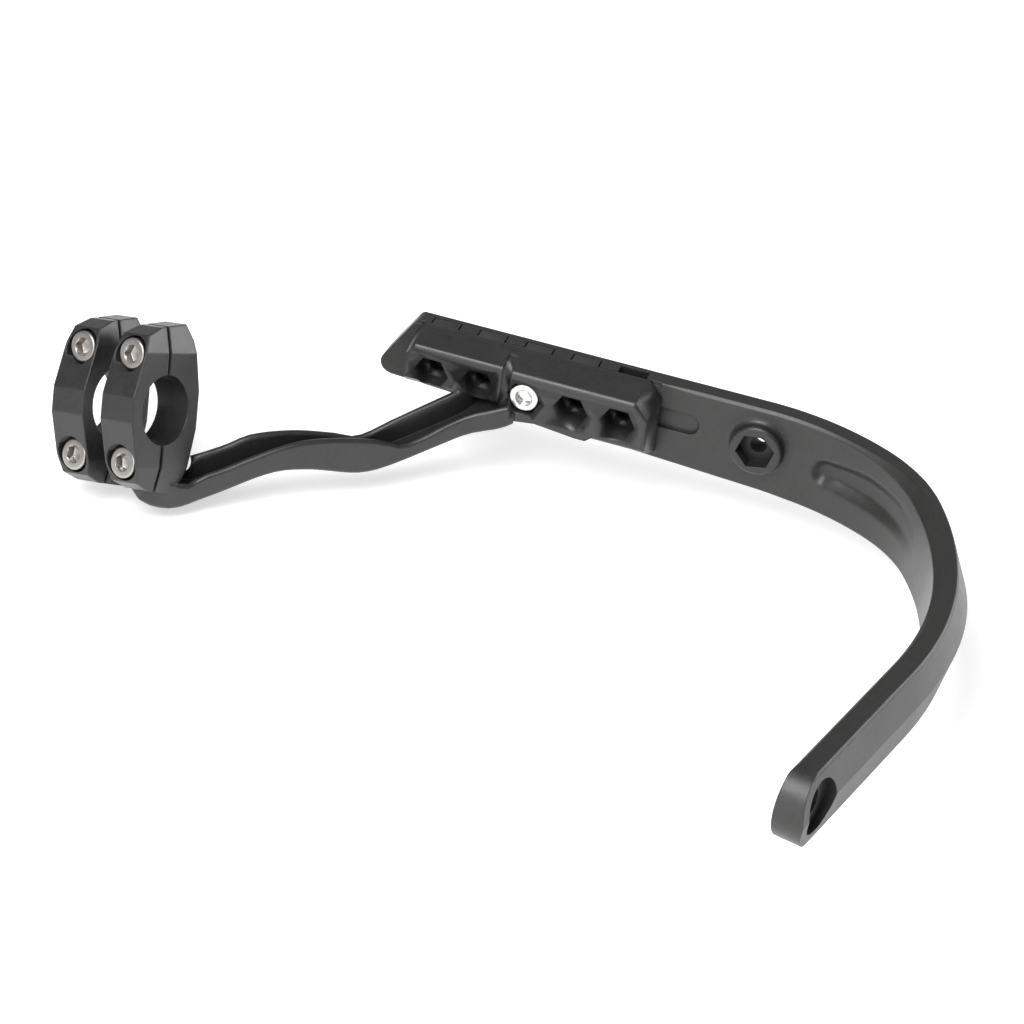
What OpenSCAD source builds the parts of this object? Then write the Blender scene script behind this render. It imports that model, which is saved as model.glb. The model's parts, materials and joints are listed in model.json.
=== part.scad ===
// Hand guard for the right end of a motorcycle handlebar, in millimetres.
// The origin is on the handlebar's axis, midway between the two clamp rings.
// +X runs outboard along the guard bar, +Y points forward, away from the rider, and +Z is up.

/* [Handlebar clamp] */
// Diameter of the handlebar that the rings close on
bar_d = 22.2; // [20:0.1:25.4]
// Width of each ring along the handlebar
ring_w = 13; // [12.4:0.2:15]
// Distance between the two ring centres
ring_pitch = 20.4; // [18:0.2:26]
// Wall of the rings in front of and behind the handlebar
ring_wall = 4.4; // [3.4:0.2:6]
// Overall height of the rings
ring_h = 54; // [52:1:62]
// Distance between the upper and the lower clamp screw
clamp_screw_pitch = 34; // [33:0.5:40]
// Gap between a cap and its base when the clamp is closed
split_gap = 1.2; // [0.6:0.2:2]
// Depth of the caps' ears in front of the split
cap_ear = 11.6; // [10:0.2:13]
// Depth of the base's ears behind the split
base_ear = 12; // [11:0.2:14]
// Chamfer on the side faces at the rings' ends
ring_chamfer = 2.2; // [1:0.2:2.6]
// How much lower the caps' front corners are than the bases' ends
cap_drop = 3.8; // [2:0.2:5]
// Sweep of the handlebar towards the rider at the clamp, in degrees
bar_sweep = 16; // [5:1:30]
// Rise of the handlebar going outboard at the clamp, in degrees
bar_rise = 16; // [5:1:25]
// Turn of the clamp about the handlebar, in degrees
clamp_turn = 22; // [10:1:30]

/* [Fasteners] */
// Thread size of the clamp screws and the adjuster screw
screw_d = 6; // [5:0.5:6]
// Diameter of the screws' socket heads
screw_head_d = 10; // [9:0.2:10.4]
// Height of the screws' socket heads
screw_head_h = 6; // [5:0.2:7]
// Hexagon socket in the screw heads, across flats
screw_socket_af = 5; // [4:0.5:6]
// Hexagon nuts, across flats
nut_af = 10; // [8:0.5:10]
// Thickness of the nuts
nut_h = 5; // [4:0.2:6]
// Room round screws and nuts in their holes, on the radius
hole_room = 0.2; // [0.1:0.05:0.4]
// Room round the clamp screws' heads in the caps, on the radius
head_room = 0.8; // [0.3:0.1:1]

/* [Guard bar] */
// Level of the guard bar's top face above the adjuster screw
spar_top = 12.3; // [11:0.1:14]
// Level of the lower edge at the inboard end
spar_low_inboard = -10.4; // [-12:0.2:-9]
// Level of the lower edge where the bend starts
spar_low_bend = -18; // [-20:0.5:-16]
// Level of the lower edge on the returning leg
spar_low_return = -12; // [-15:0.5:-10]
// Thickness of the straight leg
spar_t = 6.8; // [6:0.2:9]
// Thickness of the returning leg
return_t = 7; // [6.5:0.1:9]
// How far the outer face stands out along its middle
spar_crown = 1.6; // [0.5:0.1:3]
// How much further it stands out on the outside of the bend
bend_crown = 3.8; // [0:0.2:4.6]
// Bevel along the inner top edge on the inside of the bend
bend_bevel = 2.7; // [1.2:0.1:4]
// Straight leg from the adjuster screw to the start of the bend
spar_straight = 77; // [74:1:90]
// From the adjuster screw to the tip of the inboard end
spar_tail = 53; // [50:0.5:60]
// Radius of the first, wide part of the bend
bend_r1 = 75; // [60:1:90]
// Radius of the tight middle of the bend
bend_r2 = 49; // [40:1:60]
// Radius of the last, open part of the bend
bend_r3 = 126; // [100:1:150]
// Length of the straight end of the returning leg
return_len = 71; // [50:1:90]
// Depth of the trough in the bend's inner face
trough_depth = 2.6; // [1:0.2:3]
// Height of the trough
trough_h = 11; // [8:0.5:13]
// Diameter of the hole for the handlebar end bolt
end_hole_d = 8.4; // [6.4:0.2:10]
// Wall left under the end bolt's seat
end_seat_t = 6; // [5:0.2:6.4]
// Diameter of the end bolt's seat
end_seat_d = 17; // [14:0.5:18]

/* [Shield boss] */
// Distance of the boss from the adjuster screw
boss_x = 76.3; // [74:0.5:78]
// Diameter of the boss at the guard bar
boss_base_d = 22; // [20:0.5:24]
// Diameter of the boss's rim
boss_rim_d = 17.4; // [16:0.2:19]
// Height of the boss
boss_h = 3.8; // [3:0.2:5]
// Level of the boss, measured from the adjuster screw
boss_z = -1.4; // [-2:0.1:-1]
// Hexagon pocket in the boss, across flats
boss_af = 11.2; // [10.4:0.1:11.6]
// Turn of that pocket, in degrees
boss_turn = 12; // [0:1:30]
// Diameter of the hole for the shield's screw
shield_hole_d = 5.4; // [4.4:0.1:6.6]

/* [Adjuster head] */
// Distance of the head's front face from the guard bar
head_depth = 11.5; // [10:0.5:14]
// Pitch of the hexagon pockets and of the teeth
pocket_pitch = 16; // [15:0.5:17]
// Hexagon pockets across flats
pocket_af = 10.6; // [10.4:0.1:11]
// Depth of the hexagon pockets
pocket_depth = 8.4; // [6:0.2:8.8]
// Half length of the head, from the adjuster screw to each end
head_half = 41; // [40:0.5:44]
// Level of the front face's upper edge
head_front_top = 9; // [8:0.5:10]
// Level of the front face's lower edge
head_front_low = -7.2; // [-9:0.2:-6.4]
// Width of the tabs that lock into the guard bar
tab_w = 8.8; // [7:0.2:10]
// How far the tabs reach over the guard bar
tab_reach = 4; // [3:0.2:5]
// Thickness of the tabs
tab_t = 3; // [2:0.2:4]
// Width of the groove across the head's front and roof
groove_w = 3.4; // [2:0.2:4]
// Depth of that groove
groove_depth = 0.9; // [0.4:0.1:1.4]

/* [Arm] */
// Distance from the handlebar to the adjuster screw along X
head_x = 112.5; // [105:0.5:125]
// Distance from the handlebar to the head's front face along Y
head_y = 60.5; // [52:0.5:68]
// Height of the adjuster screw above the handlebar
head_z = 2; // [0:0.5:6]
// Heading of the arm from the X axis, in degrees
arm_heading = 39; // [36:1:41]
// Width of the arm's channel outside
arm_w = 10.6; // [9:0.2:13]
// Thickness of the channel's walls, which have round tops
arm_wall = 2.6; // [2:0.2:3.2]
// How far the walls flare out where they meet the head
arm_flare = 4.4; // [2:0.2:6]
// Thickness of the channel's floor
arm_floor = 3.4; // [2.5:0.2:5]

/* [Hidden] */
$fn = 48;
EPS = 0.01;
FIT = 0.05;

bar_r = bar_d / 2;
ring_r = bar_r + ring_wall;
screw_y = clamp_screw_pitch / 2;
hole_d = screw_d + 2 * hole_room;
head_bore_d = screw_head_d + 2 * head_room;
seat_x = 5;
spar_y = head_depth;
nut_seat = base_ear - nut_h - 0.6;

plastic = "#2b2b2d";
steel = "#c4c4c6";
// Longer than the whole part, for cuts that go right through
FAR = 400;
// Nut pocket in the outer faces, from the surface down
nut_sink = 1.6;

// Frames
// Clamp frame: X points back from the caps to the bases, Y up, Z outboard along the handlebar.
module at_clamp() {
    rotate([90, 0, 90 - bar_sweep]) rotate([-bar_rise, 0, 0]) rotate([0, 0, -clamp_turn]) children();
}

// Head frame: origin at the adjuster screw, on the head's front face, axes as the part's own.
module at_head() {
    translate([head_x, head_y, head_z]) children();
}

// Arm frame: X along the arm from its root in the head, Y up, Z towards the rider.
module at_arm() {
    at_head() translate([-12, 4, 0]) rotate([90, 0, arm_heading]) children();
}

// Curves
function reversed(p) = [for (i = [len(p) - 1 : -1 : 0]) p[i]];

// Smooth step from 0 at a to 1 at b.
function ease(x, a, b) = let (t = min(1, max(0, (x - a) / (b - a)))) t * t * (3 - 2 * t);

// Faces of a skin over m sections of n points each, with a lid at both ends.
function skin_faces(m, n) = concat(
    [[for (i = [n - 1 : -1 : 0]) i]],
    [[for (i = [0 : n - 1]) (m - 1) * n + i]],
    [for (k = [0 : m - 2]) for (i = [0 : n - 1])
        [k * n + i, k * n + (i + 1) % n, (k + 1) * n + (i + 1) % n, (k + 1) * n + i]]);

// Slope of the curve at its control point i.
function slope_at(p, i) = let (a = p[max(i - 1, 0)], b = p[min(i + 1, len(p) - 1)])
    (b[1] - a[1]) / (b[0] - a[0]);

// Level at distance s of a smooth curve through the control points p, flat beyond its ends.
function level_at(p, s, i = 0) =
    s <= p[0][0] ? p[0][1] :
    s >= p[len(p) - 1][0] ? p[len(p) - 1][1] :
    s > p[i + 1][0] ? level_at(p, s, i + 1) :
    let (w = p[i + 1][0] - p[i][0], t = (s - p[i][0]) / w)
    (2 * t * t * t - 3 * t * t + 1) * p[i][1] + (t * t * t - 2 * t * t + t) * w * slope_at(p, i)
        + (3 * t * t - 2 * t * t * t) * p[i + 1][1] + (t * t * t - t * t) * w * slope_at(p, i + 1);

// Points of an arc about the middle c, from angle a to angle b in n steps.
function arc(c, r, a, b, n) = [for (k = [0 : n]) let (q = a + (b - a) * k / n) c + r * [cos(q), sin(q)]];

// A regular hexagon across flats af, flats up and down.
module hexagon(af) {
    circle(d = af / cos(30), $fn = 6);
}

// Clamp rings
// Outline of the ears at the lower end (side -1) or the upper one (side 1), from cap to base.
function ear_outline(side) = let (top = ring_h / 2) [
    for (q = [[-cap_ear, screw_y], [-cap_ear + 2.4, top - cap_drop], [-cap_ear + 8.6, top - cap_drop / 3],
            [base_ear - 3, top], [base_ear, top - 5], [ring_r, 6]])
        [q[0], side * q[1]]
];

// Outline of a whole ring without its bore, seen along the handlebar.
module ring_outline() {
    intersection() {
        union() {
            circle(r = ring_r);
            polygon(concat([[-ring_r, 4], [-ring_r, -4]], ear_outline(-1), reversed(ear_outline(1))));
        }
        square([2 * ring_r, ring_h], center = true);
    }
}

// A ring blank, narrowed by chamfers towards its two ends.
module ring_blank() {
    shoulder = ring_h / 2 - 9;
    end_w = ring_w - 2 * ring_chamfer;
    intersection() {
        linear_extrude(ring_w, center = true) ring_outline();
        rotate([0, -90, 0]) linear_extrude(4 * ring_r, center = true)
            polygon([[-ring_w / 2, -shoulder], [-end_w / 2, -ring_h / 2], [end_w / 2, -ring_h / 2],
                [ring_w / 2, -shoulder], [ring_w / 2, shoulder], [end_w / 2, ring_h / 2],
                [-end_w / 2, ring_h / 2], [-ring_w / 2, shoulder]]);
    }
}

// The cap's half of a ring, with the recesses for its two screw heads.
module clamp_cap() {
    difference() {
        intersection() {
            ring_blank();
            translate([-2 * ring_r - split_gap / 2, -ring_h, -ring_w])
                cube([2 * ring_r, 2 * ring_h, 2 * ring_w]);
        }
        cylinder(d = bar_d, h = 2 * ring_w, center = true, $fn = 96);
        for (y = [-screw_y, screw_y]) translate([0, y, 0]) rotate([0, -90, 0]) {
            cylinder(d = hole_d, h = 2 * cap_ear);
            translate([0, 0, seat_x]) cylinder(d = head_bore_d, h = cap_ear);
        }
    }
}

// The base's half of a ring, still without its bore and holes.
module clamp_base() {
    intersection() {
        ring_blank();
        translate([split_gap / 2, -ring_h, -ring_w]) cube([2 * ring_r, 2 * ring_h, 2 * ring_w]);
    }
}

// The space a base leaves for the cap, the handlebar, two screws and the nuts at its back.
module base_room() {
    cylinder(d = bar_d, h = 2 * ring_w, center = true, $fn = 96);
    translate([split_gap / 2 - 3 * ring_r, -ring_h, -ring_w / 2 - 1])
        cube([3 * ring_r, 2 * ring_h, ring_w + 2]);
    for (y = [-screw_y, screw_y]) translate([0, y, 0]) rotate([0, 90, 0]) {
        cylinder(d = hole_d, h = 2 * base_ear);
        translate([0, 0, nut_seat]) linear_extrude(base_ear) hexagon(nut_af + 2 * hole_room);
    }
}

// Places a ring's piece on the inner ring (side -1) or the outer one (side 1).
module on_ring(side) {
    at_clamp() translate([0, 0, side * ring_pitch / 2]) children();
}

// A socket-head cap screw along +Z, head below z = 0, shank of length l above it.
module cap_screw(l) {
    edge = 0.6;
    head_r = screw_head_d / 2;
    color(steel) difference() {
        rotate_extrude() polygon([[0, -screw_head_h], [head_r - edge, -screw_head_h],
            [head_r, edge - screw_head_h], [head_r, 0], [screw_d / 2, 0], [screw_d / 2, l - edge],
            [screw_d / 2 - edge, l], [0, l]]);
        translate([0, 0, -screw_head_h - 1]) linear_extrude(screw_head_h / 2 + 1) hexagon(screw_socket_af);
    }
}

// A hexagon nut along +Z from z = 0.
module hex_nut() {
    color(steel) difference() {
        linear_extrude(nut_h) hexagon(nut_af);
        translate([0, 0, -1]) cylinder(d = screw_d + 2 * FIT, h = nut_h + 2);
    }
}

module clamp_screw(side, level) {
    on_ring(side) translate([-seat_x, level * screw_y, 0]) rotate([0, 90, 0])
        cap_screw(seat_x + base_ear - 1);
}

module clamp_nut(side, level) {
    on_ring(side) translate([nut_seat + FIT, level * screw_y, 0]) rotate([0, 90, 0]) hex_nut();
}

// Guard bar
// Heading of the inner face, in degrees, at distance s past the start of the bend.
turn1 = 31.5;
turn2 = 29.5;
turn3 = 42;
arc1 = bend_r1 * turn1 * PI / 180;
arc2 = bend_r2 * turn2 * PI / 180;
arc3 = bend_r3 * turn3 * PI / 180;
function arc_point(r, a) = [r * sin(a), -r * (1 - cos(a))];
function turned(v, a) = [v[0] * cos(a) + v[1] * sin(a), -v[0] * sin(a) + v[1] * cos(a)];
bend_p1 = [spar_straight, spar_y] + arc_point(bend_r1, turn1);
bend_p2 = bend_p1 + turned(arc_point(bend_r2, turn2), turn1);
bend_p3 = bend_p2 + turned(arc_point(bend_r3, turn3), turn1 + turn2);
bend_all = turn1 + turn2 + turn3;

// Point on the inner face's plan curve and its heading, at distance s from the adjuster screw.
function face_at(s) = let (b = s - spar_straight)
    b <= 0 ? [s, spar_y, 0] :
    b <= arc1 ? let (a = b / bend_r1 * 180 / PI, q = [spar_straight, spar_y] + arc_point(bend_r1, a))
        [q[0], q[1], a] :
    b <= arc1 + arc2 ? let (a = (b - arc1) / bend_r2 * 180 / PI,
        q = bend_p1 + turned(arc_point(bend_r2, a), turn1)) [q[0], q[1], turn1 + a] :
    b <= arc1 + arc2 + arc3 ? let (a = (b - arc1 - arc2) / bend_r3 * 180 / PI,
        q = bend_p2 + turned(arc_point(bend_r3, a), turn1 + turn2)) [q[0], q[1], turn1 + turn2 + a] :
    let (q = bend_p3 + turned([b - arc1 - arc2 - arc3, 0], bend_all)) [q[0], q[1], bend_all];

spar_end = spar_straight + arc1 + arc2 + arc3 + return_len;

// Level of the guard bar's lower edge at distance s: a straight taper, then a smooth rise in the bend.
taper_end = spar_straight + 10;
function spar_low(s) = s < taper_end ?
    spar_low_inboard
        + (spar_low_bend - spar_low_inboard) * max(0, s + spar_tail) / (taper_end + spar_tail) :
    spar_low_bend + (spar_low_return - spar_low_bend) * ease(s, taper_end + 10, spar_end - return_len);

bend_apex = spar_straight + arc1 + arc2 + 0.2 * arc3;
trough_s = spar_straight + 17.5;
trough_mid = -3.2;
bevel_min = 0.9;

// Half height of the trough at distance s, round where it starts.
function trough_half(s) = let (r = trough_h / 2, d = min(r, max(0, s - trough_s)))
    max(0.8, sqrt(r * r - (r - d) * (r - d)));
function trough_in(s) = trough_depth * ease(s, trough_s, trough_s + 3.6)
    * (1 - ease(s, spar_straight + arc1 + 8, spar_straight + arc1 + arc2 + 20));
// Section of the guard bar at distance s, as pairs of depth outwards from the inner face and level.
function spar_section(s) = let (
        low = spar_low(s),
        h = trough_half(s),
        d = trough_in(s),
        t = spar_t + (return_t - spar_t) * ease(s, spar_straight, spar_straight + arc1 + arc2),
        b = bevel_min + (bend_bevel - bevel_min)
            * ease(s, spar_straight + 0.7 * arc1, spar_straight + arc1 + arc2)
            * (1 - ease(s, spar_straight + arc1 + arc2 + 25, spar_end - return_len)),
        crown = spar_crown + bend_crown * ease(s, spar_straight + 0.3 * arc1, bend_apex - 12)
            * (1 - 0.7 * ease(s, bend_apex + 10, spar_end - return_len)),
        mid = (spar_top + low) / 2)
    [[0.9, low], [0.25, low + 0.25], [0, low + 0.9],
     [0, trough_mid - h], [0.7 * d, trough_mid - 0.75 * h], [d, trough_mid - 0.4 * h],
     [d, trough_mid + 0.4 * h], [0.7 * d, trough_mid + 0.75 * h], [0, trough_mid + h],
     [0, spar_top - b * 1.15], [b * 0.12, spar_top - b * 0.85],
     [b * 0.88, spar_top - b * 0.12], [b * 1.15, spar_top], [t - 1, spar_top], [t - 0.3, spar_top - 0.3],
     [t, spar_top - 1], [t + crown, mid + 1], [t + crown, mid - 1], [t + 0.3 * crown, low + 1],
     [t - 0.3, low + 0.3], [t - 1, low]];

spar_stations = concat(
    [-spar_tail - 4, -20, 20, 60],
    [spar_straight - 8, spar_straight, spar_straight + 6, spar_straight + 12],
    [for (d = [0, 0.6, 1.8, 3.4, 5.5, 8]) trough_s + d],
    [for (i = [7 : 10]) spar_straight + arc1 * i / 10],
    [for (i = [1 : 9]) spar_straight + arc1 + arc2 * i / 9],
    [for (i = [1 : 12]) spar_straight + arc1 + arc2 + arc3 * i / 12],
    [spar_end - return_len / 2, spar_end]);

// The guard bar's body, its section carried along the plan curve.
module spar_body() {
    n = len(spar_section(0));
    m = len(spar_stations);
    points = [for (s = spar_stations) let (f = face_at(s), out = [sin(f[2]), cos(f[2])])
        for (q = spar_section(s)) [f[0] + q[0] * out[0], f[1] + q[0] * out[1], q[1]]];
    polyhedron(points, skin_faces(m, n), convexity = 8);
}

// Places pieces on the inner face at distance s: X along it, Y outwards, Z up.
module on_face(s) {
    f = face_at(s);
    translate([f[0], f[1], 0]) rotate([0, 0, -f[2]]) children();
}

// What is cut from the straight leg's inboard end, so that a slanting nose with a round tip is left.
module nose_cut() {
    low = spar_low_inboard;
    tip_r = 4;
    nose_run = 11.4;
    keep = -10;
    difference() {
        translate([-FAR / 2, 0, -FAR / 2]) cube([FAR / 2 + 2 * keep, FAR / 2, FAR]);
        rotate([90, 0, 0]) linear_extrude(FAR, center = true) {
            polygon([[keep, spar_top + 5], [-spar_tail + nose_run + 2, spar_top + 5],
                [-spar_tail + nose_run + 2, spar_top], [-spar_tail + nose_run - 0.2, spar_top - 0.7],
                [-spar_tail + nose_run - 1.6, spar_top - 2.5], [-spar_tail + 0.8, low + 6.6],
                [-spar_tail + tip_r, low - 5], [keep, low - 10]]);
            translate([-spar_tail + tip_r, low + tip_r + 0.2]) circle(r = tip_r);
        }
    }
}

end_mid = (spar_top + spar_low_return) / 2;
end_r = (spar_top - spar_low_return) / 2;

// What is cut from the returning leg's end, so that it is a half circle about the end bolt.
module end_round() {
    on_face(spar_end) rotate([90, 0, 0]) linear_extrude(FAR / 4, center = true) difference() {
        translate([-end_r, end_mid - 2 * end_r]) square([2 * end_r, 4 * end_r]);
        translate([-end_r, end_mid]) circle(r = end_r, $fn = 64);
    }
}

slot_h = 7.6;
slot_reach = 52.6;
slot_z = -1.2;
slot_depth = 1.2;

// The boss's turned form, along +Z from the guard bar's inner face.
module shield_boss() {
    base_r = boss_base_d / 2;
    rim_r = boss_rim_d / 2;
    edge = 0.8;
    rotate_extrude() polygon([[0, -1], [base_r, -1], [base_r, 0.6], [base_r - edge, 1.2],
        [rim_r + 0.3, 1.6], [rim_r, 2.2], [rim_r, boss_h - edge], [rim_r - edge, boss_h], [0, boss_h]]);
}

module guard_spar() {
    color(plastic) at_head() difference() {
        union() {
            spar_body();
            translate([boss_x, spar_y, boss_z]) rotate([90, 0, 0]) shield_boss();
        }
        nose_cut();
        end_round();
        // Notches in the top lip for the head's tabs
        for (i = [-2 : 2]) translate([i * pocket_pitch, spar_y - 1, spar_top - tab_t - hole_room])
            translate([-tab_w / 2 - hole_room, 0, 0])
                cube([tab_w + 2 * hole_room, tab_reach + 1 + hole_room, 2 * tab_t]);
        // Shallow slot that the head slides along
        translate([0, spar_y, slot_z]) rotate([90, 0, 0]) linear_extrude(2 * slot_depth, center = true) {
            translate([-head_half + 4, -slot_h / 2]) square([head_half - 4 + slot_reach, slot_h]);
            for (x = [-head_half + 4, slot_reach]) translate([x, 0]) circle(d = slot_h);
        }
        // Adjuster screw's hole and the pocket for its nut in the outer face
        translate([0, spar_y - 1, 0]) rotate([-90, 0, 0]) {
            cylinder(d = hole_d, h = 3 * spar_t);
            translate([0, 0, 1 + spar_t - nut_sink]) linear_extrude(2 * spar_t)
                hexagon(nut_af + 2 * hole_room);
        }
        // Shield screw's hexagon pocket and hole
        translate([boss_x, spar_y - boss_h, boss_z]) rotate([-90, 0, 0]) {
            translate([0, 0, -1]) linear_extrude(boss_h + 1.8) rotate(-boss_turn) hexagon(boss_af);
            cylinder(d = shield_hole_d, h = 4 * spar_t);
        }
        // Handlebar end bolt's hole and seat
        on_face(spar_end - end_r) translate([0, 0, end_mid]) rotate([-90, 0, 0]) {
            translate([0, 0, -1]) cylinder(d = end_hole_d, h = 4 * spar_t);
            translate([0, 0, end_seat_t]) cylinder(d = end_seat_d, h = 4 * spar_t);
        }
    }
}

// Arm
// Levels along the arm of its lower edge and of the tops of its near and far walls.
arm_low = [[-121, -22.4], [-118.5, -26], [-114, -29.2], [-107, -31], [-96, -29], [-74.5, -22.3],
    [-62, -22.5], [-45, -25.8], [-35.5, -24.6], [-17, -18.2], [6, -10]];
arm_near = [[-113, -26.5], [-104, -24], [-97, -20.6], [-90.5, -18.8], [-78.5, -14.6], [-66, -11.7],
    [-52, -12], [-37.5, -14.5], [-29.5, -16.8], [-17, -11.3], [2, -3.4]];
arm_far = [[-116, -24], [-104, -19.6], [-88, -15.4], [-79.5, -12.4], [-65, -12.4], [-51, -15],
    [-43, -17], [-30.5, -11.9], [-18, -6.8], [-6, -1.8]];
arm_begin = -121;
arm_end = 6;
arm_step = 3.175;
root_level = -21.6;

// The channel's floor: one thickness above the lower edge, and filled up towards the clamp.
function arm_floor_at(s) = max(level_at(arm_low, s) + arm_floor,
    root_level - 6 * ease(s, -114, -97) - 20 * ease(s, -97, -80));

// Section of the channel at distance s: pairs of the distance towards the rider and the level.
function arm_section(s) = let (
        half = arm_w / 2 + ease(s, -96, -106) + arm_flare * ease(s, -15, 3) * ease(s, -15, 3),
        low = level_at(arm_low, s),
        r = arm_wall / 2,
        floor = arm_floor_at(s),
        near = max(level_at(arm_near, s), floor + arm_wall),
        far = max(level_at(arm_far, s), floor + arm_wall),
        edge = 1.6)
    concat(arc([half - edge, low + edge], edge, -90, 0, 3),
        arc([half - r, near - r], r, 0, 180, 6),
        [[half - arm_wall, floor], [-half + arm_wall, floor]],
        arc([-half + r, far - r], r, 0, 180, 6),
        arc([-half + edge, low + edge], edge, 180, 270, 3));

// The arm's channel, its section carried from the clamp to the head, cut off where the guard bar lies.
module arm_channel() {
    stations = [for (s = [arm_begin : arm_step : arm_end]) s];
    n = len(arm_section(arm_begin));
    points = [for (s = stations) for (q = arm_section(s)) [s, q[1], q[0]]];
    difference() {
        at_arm() intersection() {
            polyhedron(points, skin_faces(len(stations), n), convexity = 8);
            translate([arm_begin + 1, -FAR / 4, -FAR / 4])
                cube([arm_end - arm_begin - 2, FAR / 2, FAR / 2]);
        }
        at_head() translate([-head_half, spar_y - FIT, -head_half]) cube(2 * head_half);
    }
}

// The web that joins the two clamp bases below the handlebar.
module clamp_bridge() {
    low = -ring_h / 2;
    at_clamp() linear_extrude(ring_pitch, center = true)
        polygon([[3, low + 1], [base_ear - 3, low + 0.5], [base_ear, low + 5], [base_ear, -bar_r - 3],
            [3, -bar_r - 3]]);
}

// A thin upright slice of the head at depth y, with its roof at the level top.
module head_slice(y, top, grow) {
    bevel = 5.2;
    translate([0, y, 0]) rotate([90, 0, 0]) linear_extrude(EPS)
        polygon([[-head_half, spar_low_bend], [-head_half, top - 3.6], [-head_half + 2.6, top],
            [head_half - 4.2 + grow, top], [head_half + 0.6 + grow, top - bevel],
            [head_half + 0.6 + grow, spar_low_bend]]);
}

// What the head's underside leaves free, seen from its outboard end.
module head_under(low, low_back) {
    rotate([90, 0, 90]) linear_extrude(2 * head_half)
        polygon([[-1, low], [0, low], [4, 0.5 * (low + low_back)], [head_depth, low_back],
            [head_depth + 1, low_back], [head_depth + 1, 2 * spar_low_bend], [-1, 2 * spar_low_bend]]);
}

// The lip under the front face's outboard half, with a gusset at the arm and a bump near its middle.
module front_lip(x) {
    lip_t = 3;
    bump_x = 1.35 * pocket_pitch;
    translate([0, lip_t, 0]) rotate([90, 0, 0]) linear_extrude(lip_t + EPS)
        polygon([[x, 0], [x, head_front_low - 3], [x + 4, head_front_low - 1.9],
            [x + 13, head_front_low - 0.6], [bump_x - 3, head_front_low - 2],
            [bump_x + 0.6, head_front_low - 2], [bump_x + 3, head_front_low], [bump_x + 3, 0]]);
}

// The five hexagon pockets of the front face and the screw holes behind them.
module head_pockets() {
    for (i = [-2 : 2]) translate([i * pocket_pitch, 0, 0]) rotate([-90, 0, 0]) {
        translate([0, 0, -3]) linear_extrude(pocket_depth + 3) hexagon(pocket_af);
        cylinder(d = hole_d, h = 2 * head_depth);
    }
}

// The block that carries the guard bar, with its roof, tabs and groove, still without its pockets.
module head_block() {
    groove_x = -8.2;
    step = 0.8;
    roof_run = head_depth - 1 - step;
    roof_slope = atan2(spar_top - head_front_top, roof_run);
    at_head() difference() {
        union() {
            hull() {
                head_slice(EPS, head_front_top - step, 0);
                head_slice(step, head_front_top, 0);
                head_slice(head_depth - 1, spar_top, 1.4);
                head_slice(head_depth - FIT, spar_top, 1.4);
            }
            for (i = [-2 : 1]) translate([i * pocket_pitch - tab_w / 2, spar_y - 2, spar_top - tab_t])
                cube([tab_w, tab_reach + 2, tab_t]);
        }
        difference() {
            translate([groove_x, 0, 0]) head_under(head_front_low, spar_low_bend + 5);
            front_lip(groove_x);
        }
        translate([groove_x - 2 * head_half + EPS, 0, 0])
            head_under(head_front_low + 4.6, spar_low_inboard + 0.8);
        // Recessed inboard half and the groove beside it, which goes on across the roof
        translate([-head_half - 1, -1, 2 * spar_low_bend]) cube([head_half + 1 + groove_x, 1 + step, 60]);
        translate([groove_x - EPS, -1, 2 * spar_low_bend]) cube([groove_w, 1 + step + groove_depth, 60]);
        translate([groove_x - EPS, step, head_front_top - groove_depth]) rotate([roof_slope, 0, 0])
            cube([groove_w, roof_run - 2.5, 10]);
    }
}

module mount_arm() {
    color(plastic) difference() {
        union() {
            for (side = [-1, 1]) on_ring(side) clamp_base();
            clamp_bridge();
            arm_channel();
            head_block();
        }
        for (side = [-1, 1]) on_ring(side) base_room();
        at_head() head_pockets();
    }
}

module clamp_cap_inner() {
    color(plastic) on_ring(-1) clamp_cap();
}

module clamp_cap_outer() {
    color(plastic) on_ring(1) clamp_cap();
}

// Adjuster
washer_t = 1.2;

module adjuster_washer() {
    color(steel) at_head() translate([0, pocket_depth - washer_t - FIT, 0]) rotate([-90, 0, 0])
        difference() {
            cylinder(d = screw_head_d + 0.4, h = washer_t);
            translate([0, 0, -1]) cylinder(d = screw_d + 2 * FIT, h = washer_t + 2);
        }
}

module adjuster_screw() {
    seat = pocket_depth - washer_t - 2 * FIT;
    at_head() translate([0, seat, 0]) rotate([-90, 0, 0])
        cap_screw(spar_y + spar_t + 2 - seat);
}

module adjuster_nut() {
    at_head() translate([0, spar_y + spar_t - nut_sink + FIT, 0]) rotate([-90, 0, 0]) hex_nut();
}

guard_spar();
mount_arm();
clamp_cap_inner();
clamp_cap_outer();
clamp_screw(-1, 1);  // clamp_screw_inner_top
clamp_screw(-1, -1);  // clamp_screw_inner_low
clamp_screw(1, 1);  // clamp_screw_outer_top
clamp_screw(1, -1);  // clamp_screw_outer_low
clamp_nut(-1, 1);  // clamp_nut_inner_top
clamp_nut(-1, -1);  // clamp_nut_inner_low
clamp_nut(1, 1);  // clamp_nut_outer_top
clamp_nut(1, -1);  // clamp_nut_outer_low
adjuster_screw();
adjuster_washer();
adjuster_nut();
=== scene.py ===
# %% Load the fixed frame
import json

import bmesh
import bpy
import numpy as np
from mathutils import Matrix, Vector

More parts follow.
